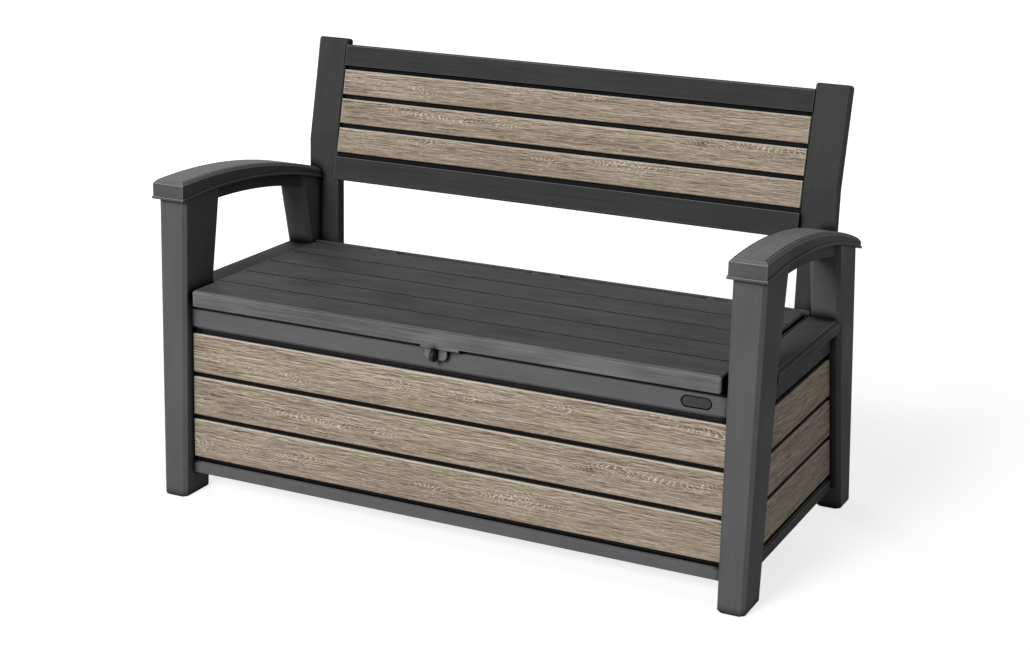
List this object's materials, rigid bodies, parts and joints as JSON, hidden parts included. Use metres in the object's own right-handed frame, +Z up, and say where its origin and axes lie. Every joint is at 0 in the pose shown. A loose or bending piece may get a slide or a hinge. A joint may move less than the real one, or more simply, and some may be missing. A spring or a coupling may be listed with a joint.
{
  "type": "outdoor storage bench",
  "caption": "Two-seat outdoor storage bench in dark grey resin with wood-look planks, arched armrests, reclined back and a hinged seat lid over a storage box.",
  "frame": {"origin": "on the floor, below the middle of the outer box", "axes": "+X along the bench to the viewer's right, +Z up, and the seat faces -Y"},
  "size_m": [1.3166, 0.698, 0.9107],
  "materials": {
    "graphite_resin": "fine brushed wood grain, dark grey",
    "wood_look_resin": "printed weathered oak grain, satin",
    "lid_resin": "fine brushed wood grain, dark grey",
    "lock_resin": "moulded, satin black",
    "zinc_steel": "zinc plated"
  },
  "bodies": {
    "bench": {"front_left_leg": "graphite_resin", "rear_left_leg": "graphite_resin", "left_arm_beam": "graphite_resin", "left_armrest": "graphite_resin", "left_side_panel": "graphite_resin", "left_back_post": "graphite_resin", "front_right_leg": "graphite_resin", "rear_right_leg": "graphite_resin", "right_arm_beam": "graphite_resin", "right_armrest": "graphite_resin", "right_side_panel": "graphite_resin", "right_back_post": "graphite_resin", "front_panel": "graphite_resin", "rear_panel": "graphite_resin", "floor_panel": "graphite_resin", "backrest_panel": "graphite_resin", "left_side_plank_bottom": "wood_look_resin", "left_side_plank_middle": "wood_look_resin", "left_side_plank_top": "wood_look_resin", "right_side_plank_bottom": "wood_look_resin", "right_side_plank_middle": "wood_look_resin", "right_side_plank_top": "wood_look_resin", "front_plank_bottom": "wood_look_resin", "backrest_plank_bottom": "wood_look_resin", "front_plank_middle": "wood_look_resin", "backrest_plank_middle": "wood_look_resin", "front_plank_top": "wood_look_resin", "backrest_plank_top": "wood_look_resin", "lock_staple": "lock_resin", "hinge_pin_left": "zinc_steel", "hinge_pin_centre": "zinc_steel", "hinge_pin_right": "zinc_steel", "back_bolts": "zinc_steel", "back_nuts": "zinc_steel"},
    "lid": {"lid_panel": "lid_resin", "lid_hasp": "lid_resin"}
  },
  "joints": [
    {"name": "lid_hinge", "type": "hinge", "parent": "bench", "child": "lid", "pos_m": [0, 0.1635, 0.451], "axis": [-1, 0, 0], "range_deg": [0, 95]}
  ]
}
